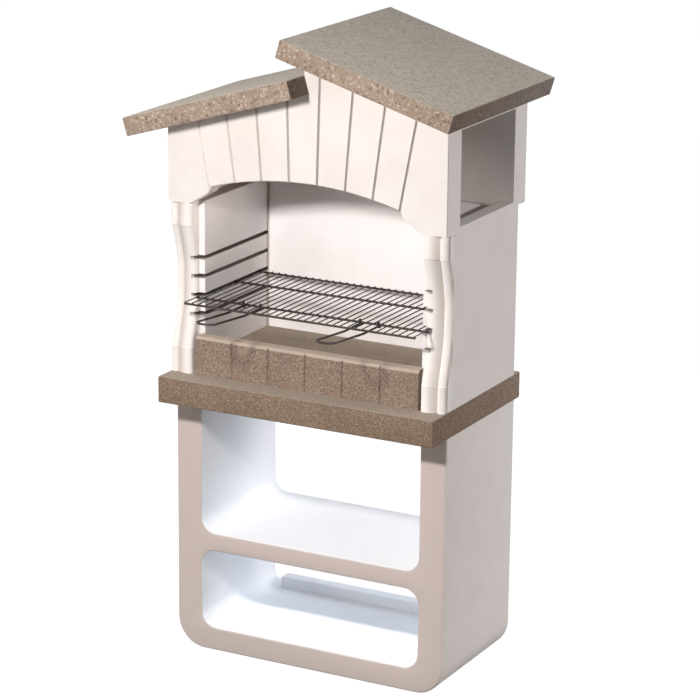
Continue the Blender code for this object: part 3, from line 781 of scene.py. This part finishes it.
def make_base(finish):
    """Floor, shelf and four walls of the open base."""
    floor_high = masonry_box("base_floor")[1]
    shelf_low, shelf_high = masonry_box("base_shelf")
    side, inner = floor_high[0], masonry_box("base_lower_right_wall")[0][0]
    radius, steps = base_opening_radius, base_arc_steps

    corner = arc((side - base_corner_radius, base_corner_radius), base_corner_radius, 3, 4, steps)
    fillet = arc((inner - radius, floor_high[2]), radius, 4, 3, steps)
    outline = symmetric(corner + [(side, floor_high[2]), (inner, floor_high[2])] + fillet)
    base_casting("floor_casting", "base_floor", outline, [floor_high[2]], finish)

    under = arc((inner - radius, shelf_low[2] - gap), radius, 1, 0, steps)
    over = arc((inner - radius, shelf_high[2]), radius, 4, 3, steps)
    right = under[:-1] + [(inner, shelf_low[2]), (side, shelf_low[2])]
    right += [(side, shelf_high[2]), (inner, shelf_high[2])] + over[1:]
    base_casting("shelf_casting", "base_shelf", symmetric(right), [shelf_low[2], shelf_high[2]], finish)

    for level in ("lower", "upper"):
        for hand in ("left", "right"):
            node = "base_" + level + "_" + hand + "_wall"
            low, high = masonry_box(node)
            base_casting(level + "_" + hand + "_wall_casting", node, rectangle(low, high),
                         [low[2], high[2]], finish)


def slab_casting(name, node, outline, radius, finish):
    """A granulate slab with all its edges softened."""
    low, high = masonry_box(node)
    mesh_edit = bmesh.new()
    add_prism(mesh_edit, outline, low[1], high[1])
    round_edges(mesh_edit, lambda a, b: True, radius, slab_edge_segments)
    finish_piece(mesh_from(mesh_edit), name, finish, "masonry", [node], slab_smooth_angle)


def make_worktop(finish):
    """The thick slab that carries the fire chamber."""
    outline = rectangle(*masonry_box("worktop_slab"))
    slab_casting("worktop_casting", "worktop_slab", outline, worktop_edge_radius, finish)


def make_roof(finish):
    """The two slabs of the roof."""
    for hand, sign in (("left", -1), ("right", 1)):
        node = "roof_" + hand + "_slab"
        low, high = masonry_box(node)
        middle = Vector(((low[0] + high[0]) / 2, (low[2] + high[2]) / 2))
        down = Vector((sign * math.cos(roof_slope), -math.sin(roof_slope))) * roof_slab_length / 2
        under = Vector((-sign * math.sin(roof_slope), -math.cos(roof_slope))) * roof_slab_thickness / 2
        corners = [middle - down - under, middle + down - under, middle + down + under,
                   middle - down + under]
        slab_casting("roof_" + hand + "_casting", node, [tuple(corner) for corner in corners],
                     roof_edge_radius, finish)


def column_section(width, depth):
    """Top view of a column: places in from its outer side, and back from its front.

    From the inner side it runs along the front to the score line, over the bead, round the
    quirk behind it and along the outer side to the rear.
    """
    score = column_side_gap + column_bead_width
    inner_corner = (width - column_inner_radius, column_inner_radius)
    section = [(width, depth)] + arc(inner_corner, column_inner_radius, 0, -1, column_inner_steps)
    for step in range(column_round_steps + 1):
        share = step / column_round_steps
        section.append((score + column_round_width * (1 - share), column_round_depth * share ** 2))
    section.append((score, column_round_depth + column_score_depth))

    crown = column_side_gap + column_bead_width * (1 - column_bead_lean_share)
    bead_back = column_bead_setback + column_bead_height
    for step in range(column_bead_steps):
        angle = math.pi * (step + 1) / column_bead_steps
        leaning = column_bead_lean_share if math.cos(angle) > 0 else 1 - column_bead_lean_share
        section.append((crown + column_bead_width * leaning * math.cos(angle),
                        bead_back - column_bead_height * math.sin(angle)))
    section += [(column_quirk_depth, bead_back + gap),
                (column_quirk_depth, bead_back + column_quirk_width),
                (0, bead_back + column_quirk_width), (0, depth)]
    return section


def make_columns(sweep, cuts, finish):
    """The two swept columns, with the notches where the grooves run out."""
    for hand, sign in (("left", -1), ("right", 1)):
        low, high = masonry_box(hand + "_column")
        front, rear = low[1], high[1]
        outer = high[0] if sign > 0 else low[0]
        width = high[0] - low[0]
        ring = path_mesh([[(outer - sign * place, front + depth, 0)
                           for place, depth in column_section(width, rear - front)]], closed=True)
        foot = low[2] + column_foot_height
        head = high[2] - column_head_height
        shaft = grow(sweep, ring, {
            "Low": low[2], "High": high[2], "Rings": column_ring_count, "Rear": rear - gap,
            "Recess": column_recess, "Foot": foot, "Head": head,
            "Waist": foot + (head - foot) * column_lower_sweep_share,
            "Shoulder": head - (head - foot) * column_upper_sweep_share,
            "Lower Power": column_lower_power, "Ledge": column_ledge_depth,
            "Neck": high[2] - column_neck_height, "Neck Depth": column_neck_depth,
            "Middle": (low[0] + high[0]) / 2, "Narrowing": 2 * column_neck_narrowing / width,
            "Outer Side": outer, "Hollow": -sign * column_hollow, "Finish": finish})

        liner_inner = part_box("right_liner")[0].x
        left, right = sorted((sign * (liner_inner - overrun), sign * (liner_inner + groove_depth)))
        notch = bmesh.new()
        add_box(notch, (left, front - overrun, 0), (right, rear + overrun, groove_height))
        shaft = grow(cuts, shaft, {
            "Cutter": cutter_object(notch), "Count": groove_count,
            "Start": (0, 0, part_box("worktop_slab")[1].z + groove_lowest), "Step": (0, 0, groove_pitch),
            "Finish": finish})
        finish_piece(shaft, hand + "_column_casting", finish, "masonry",
                     [hand + "_column"], column_smooth_angle)


def make_guard(cuts, finish):
    """The ember guard, with a well rounded upper edge and joints as between bricks."""
    low, high = masonry_box("ember_guard")
    mesh_edit = bmesh.new()
    add_box(mesh_edit, low, high)
    round_edges(mesh_edit, lambda a, b: both_at(a, b, 2, high[2]) and both_at(a, b, 1, low[1]),
                guard_edge_radius, guard_edge_segments)
    joint = bmesh.new()
    reach = guard_joint_depth + overrun
    half = guard_joint_width / 2 * reach / guard_joint_depth
    wedge = ((-half, low[1] - overrun), (half, low[1] - overrun), (0, low[1] + guard_joint_depth))
    add_loft(joint, [[(*corner, height) for corner in wedge]
                     for height in (low[2] - overrun, high[2] + overrun)])
    brick = (high[0] - low[0]) / guard_brick_count
    mesh = grow(cuts, mesh_from(mesh_edit), {
        "Cutter": cutter_object(joint), "Count": guard_brick_count - 1,
        "Start": (low[0] + brick, 0, 0), "Step": (brick, 0, 0), "Finish": finish})
    finish_piece(mesh, "ember_guard_casting", finish, "masonry", ["ember_guard"],
                 guard_smooth_angle)


def hook_path(wire, leg):
    """The end of a handle, wound round the wire behind, from its tip to the leg under it."""
    around = 2 * wire_radius + gap
    points = []
    for step in range(hook_steps + 1):
        turned = hook_turns * (1 - step / hook_steps)
        angle = math.pi * (2 * turned - 0.5)
        points.append((leg + turned * around,
                       wire[1] + around * math.cos(angle), wire[2] + around * math.sin(angle)))
    return points


def handle_path(box, wire, grill_front):
    """A U of wire: hooked at both ends round one wire, and rising from the front one to its tip."""
    low, high = box
    legs = (low[0] + wire_radius, high[0] - wire_radius)
    tip = low[1] + wire_radius
    under = wire[2] - 2 * wire_radius - gap
    bend = grill_front - 2 * wire_radius
    radius = handle_corner_radius

    def grip(x, y):
        """A point of the part that rises beyond the bend."""
        return (x, y, under + handle_rise * (bend - y) / (bend - tip))

    left_corner = arc((legs[0] + radius, tip + radius), radius, 2, 3, handle_corner_steps)
    right_corner = arc((legs[1] - radius, tip + radius), radius, 3, 4, handle_corner_steps)
    rising = [(legs[0], bend), *left_corner, *right_corner, (legs[1], bend)]
    return [*hook_path(wire, legs[0]), *(grip(x, y) for x, y in rising),
            *reversed(hook_path(wire, legs[1]))]


def make_grill(finish):
    """Fine bars welded on cross wires, and two handles wound round the second wire."""
    grid_low, grid_high = masonry_box("grill_grid")
    second_low, second_high = masonry_box("grill_front_rest_wire")
    third_low, third_high = masonry_box("grill_rear_rest_wire")
    middle = [(a + b) / 2 for a, b in zip(grid_low, grid_high)]
    wire_height = (second_low[2] + second_high[2]) / 2
    second, third = ((low[1] + high[1]) / 2 for low, high in
                     ((second_low, second_high), (third_low, third_high)))
    first, last = middle[1] - grill_depth / 2, middle[1] + grill_depth / 2
    half_width = (grid_high[0] - grid_low[0]) / 2
    bent, sides = bent_wire_tree(), {"Radius": wire_radius, "Sides": wire_sides, "Finish": finish}

    def across(place, low, high):
        """A wire that runs from side to side."""
        return [(low, place, wire_height), (high, place, wire_height)]

    for name, node, place, low, high in (
            ("second_cross_wire", "grill_front_rest_wire", second, second_low[0], second_high[0]),
            ("third_cross_wire", "grill_rear_rest_wire", third, third_low[0], third_high[0])):
        wire = grow(bent, path_mesh([across(place, low, high)]), sides)
        finish_piece(wire, name, finish, "grill", [node], wire_smooth_angle)

    first_bar = grid_low[0] + bar_solid_radius
    pitch = (grid_high[0] - grid_low[0] - 2 * bar_solid_radius) / (bar_count - 1)
    bar_height = wire_height + wire_radius + bar_radius - weld_sink
    bars = grow(row_of_bars_tree(), path_mesh([]), {
        "Count": bar_count, "Start": (first_bar, middle[1], bar_height), "Step": (pitch, 0, 0),
        "Length": grill_depth + wire_radius, "Radius": bar_radius, "Sides": bar_sides, "Finish": finish})
    ends = grow(bent, path_mesh([across(place, middle[0] - half_width, middle[0] + half_width)
                                 for place in (first, last)]), sides)
    seats = path_mesh([[(first_bar, place, wire_height + wire_radius - weld_sink)]
                       for place in (first, second, third, last)])
    welds = grow(weld_tree(), seats, {
        "Count": bar_count, "Step": (pitch, 0, 0), "Radius": weld_radius, "Finish": finish})
    finish_piece(joined([bars, ends, welds]), "grill_bars_and_end_wires", finish, "grill",
                 ["grill_grid"], wire_smooth_angle)

    for hand in ("left", "right"):
        node = "grill_" + hand + "_handle"
        path = handle_path(masonry_box(node), (0, second, wire_height), first)
        handle = grow(bent, path_mesh([path]), sides)
        finish_piece(handle, hand + "_wire_handle", finish, "grill", [node],
                     wire_smooth_angle)


# Camera, lamps and floor

def make_camera():
    """The camera at the photograph's angle."""
    azimuth, elevation, roll = (
        math.radians(angle) for angle in (camera_azimuth, camera_elevation, camera_roll))
    back = Vector((math.sin(azimuth) * math.cos(elevation), -math.cos(azimuth) * math.cos(elevation),
                   math.sin(elevation)))
    right = Vector((math.cos(azimuth), math.sin(azimuth), 0))
    up = back.cross(right)
    turned_right = right * math.cos(roll) + up * math.sin(roll)
    turned_up = up * math.cos(roll) - right * math.sin(roll)
    turned = Matrix((turned_right, turned_up, back)).transposed().to_4x4()
    place = Vector(camera_target) + back * camera_distance
    lens = bpy.data.cameras.new("camera")
    lens.sensor_width = camera_sensor_millimetres
    lens.lens = camera_focal_pixels / camera_picture_pixels * camera_sensor_millimetres
    lens.clip_end = camera_clip_end
    camera = placed("camera", lens)
    camera.matrix_world = Matrix.Translation(place) @ turned
    bpy.context.scene.camera = camera


def add_lamp(name, place, aim, level, size, colour):
    """A soft square lamp that faces a point, and lights near and far alike to the same level."""
    lamp = bpy.data.lights.new(name, "AREA")
    lamp.energy = level * math.pi ** 2
    lamp.use_nodes = True
    tree = lamp.node_tree
    even = add_node(tree, "ShaderNodeLightFalloff", {"Strength": 1.0})["Constant"]
    tree.links.new(even, tree.nodes["Emission"].inputs["Strength"])
    lamp.size = size
    lamp.color = linear(colour)[:3]
    holder = placed(name, lamp)
    holder.location = place
    holder.rotation_euler = (Vector(aim) - Vector(place)).to_track_quat("-Z", "Y").to_euler()


def seen_by_eye(tree):
    """1 for camera, mirror and glass rays, and 0 for light that only bounces."""
    path = add_node(tree, "ShaderNodeLightPath")
    seen = path["Is Camera Ray"]
    for ray in ("Is Glossy Ray", "Is Transmission Ray"):
        seen = add_node(tree, "ShaderNodeMath", [seen, path[ray]], operation="MAXIMUM")[0]
    return seen


def make_surroundings():
    """A dim sky for the light, and plain white for the eye."""
    world = bpy.data.worlds.new("studio")
    bpy.context.scene.world = world
    world.use_nodes = True
    tree = world.node_tree
    tree.nodes.clear()
    place = add_node(tree, "ShaderNodeTexCoord")["Generated"]
    height = add_node(tree, "ShaderNodeSeparateXYZ", [place])["Z"]
    share = add_node(tree, "ShaderNodeMapRange", {"Value": height, "From Min": -1.0, "From Max": 1.0})[0]
    sky = add_node(tree, "ShaderNodeValToRGB", [share],
                   [(step, grey(level)) for step, level in sky_levels])[0]
    ambient = add_node(tree, "ShaderNodeBackground", {"Color": sky, "Strength": 1.0})[0]
    white = add_node(tree, "ShaderNodeBackground", {"Color": grey(1.0), "Strength": 1.0})[0]
    shown = add_node(tree, "ShaderNodeMixShader", [seen_by_eye(tree), ambient, white])[0]
    add_node(tree, "ShaderNodeOutputWorld", [shown])


def studio_paper():
    """Matt paper that the eye sees as white, apart from the shadow on it."""
    paper = bpy.data.materials.new("matt white studio paper")
    paper.use_nodes = True
    tree = paper.node_tree
    tree.nodes.clear()
    matt = add_node(tree, "ShaderNodeBsdfDiffuse", {"Color": linear("#808080")})[0]
    share = product(tree, seen_by_eye(tree), floor_glow)
    glow = add_node(tree, "ShaderNodeEmission", {"Color": grey(1.0), "Strength": share})[0]
    shown = add_node(tree, "ShaderNodeAddShader", [matt, glow])[0]
    add_node(tree, "ShaderNodeOutputMaterial", [shown])
    return paper


def make_studio():
    """Pale floor, white surroundings and soft lamps."""
    make_surroundings()
    mesh_edit = bmesh.new()
    bmesh.ops.create_grid(mesh_edit, x_segments=1, y_segments=1, size=floor_reach)
    mesh = plain_mesh(mesh_edit, "studio_floor")
    mesh.transform(Matrix.Translation((0, 0, -floor_drop)))
    repaint(mesh, studio_paper())
    floor = placed("studio_floor", mesh)
    for name, settings in lamps.items():
        add_lamp(name, *settings)
    bpy.context.scene.view_settings.view_transform = "Standard"


def main():
    """Dress the barbecue, then set the studio round it."""
    white = ("#F6F1EC", "#F2ECE7")
    white_paint = masonry_paint("matt white masonry paint, rolled", white)
    # The base's forward faces get a darker tone, which is painted shade
    base_paint = masonry_paint("matt white masonry paint, base", white, [
        (inside_the_base, "#FAFCFF"), (front_faces_painted_shade, "#D3C6BF")])
    inner_paint = masonry_paint("matt white masonry paint, inside", ("#FAFCFF", "#F4F8FD"))
    # The columns' tones are a lighter copy of the white paint, which is painted light
    column_paint = masonry_paint("matt white masonry paint, columns", ("#FFFBF7", "#FAF5F0"), [
        # Painted shade in the columns' round hollows
        (column_hollow_painted_shade, "#A89484"), (in_groove_mouths, "#D2C7C0")])
    hood_paint = masonry_paint("matt white masonry paint, hood front", ("#F8F3EE", "#F1EAE5"), [
        # Painted shade in the plank joints
        (in_plank_joints, "#CDC6C1")])
    liner_paint = liner_concrete("pale refractory concrete, cast", ("#FAF7F7", "#F2EEED"), [
        # Soot and painted shade in the liners' grooves and back corners
        (in_liner_grooves, "#B3A6A0"), (in_back_corners, "#A3968F")])
    # The weathered tones of these slabs' tops are lighter too: weathering and painted light from above
    worktop_stone = washed_granulate(
        "brown exposed granulate, washed", "#86725F",
        ("#7C6958", "#907C6A", "#9A8573", "#A38F7D", "#AE9A88"), worktop_grit_size, weathered_lit_tone="#B5ACA0")
    roof_stone = washed_granulate(
        "grey exposed granulate, washed", "#A89585",
        ("#8B7667", "#AB9685", "#B8A494", "#C4B3A4", "#CDBEB0"), roof_grit_size, roof_grit_shares,
        # Painted shade on the roof slabs' ends
        weathered_lit_tone="#FFFAEA", layers=[(slab_ends_painted_shade, "#44392D")])
    fire_stone = washed_granulate(
        "brown refractory concrete, cast", "#8A7664",
        ("#7D6A59", "#917D6B", "#9D8977", "#A79482", "#B29F8D"), fire_grit_size, weathered_lit_tone="#9C9384")
    guard_stone = washed_granulate(
        "brown refractory concrete, ember guard", "#8D7B6C",
        ("#7F6D5F", "#938172", "#9F8D7E", "#A99889", "#B4A394"), fire_grit_size,
        # Painted highlight on the guard's top
        layers=[(top_painted_highlight, "#CEBFAF")])
    wire = drawn_wire("mild steel wire, heat darkened")

    finishes = {
        "base_rear_rail": inner_paint, "hearth_slab": fire_stone, "hood_front_panel": hood_paint,
        "left_liner": liner_paint, "right_liner": liner_paint, "back_liner": liner_paint,
        "chamber_left_panel": white_paint, "chamber_right_panel": white_paint,
        "chamber_back_panel": white_paint, "hood_left_panel": white_paint,
        "hood_right_panel": white_paint, "hood_back_panel": white_paint, "ridge_beam": white_paint,
    }
    for node, finish in finishes.items():
        repaint(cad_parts[node].data, finish)

    make_base(base_paint)
    make_worktop(worktop_stone)
    make_roof(roof_stone)
    cuts = cutting_tree()
    make_columns(column_tree(), cuts, column_paint)
    make_guard(cuts, guard_stone)
    make_grill(wire)
    for cutter in cutters:
        bpy.data.objects.remove(cutter)
    make_camera()
    make_studio()


main()
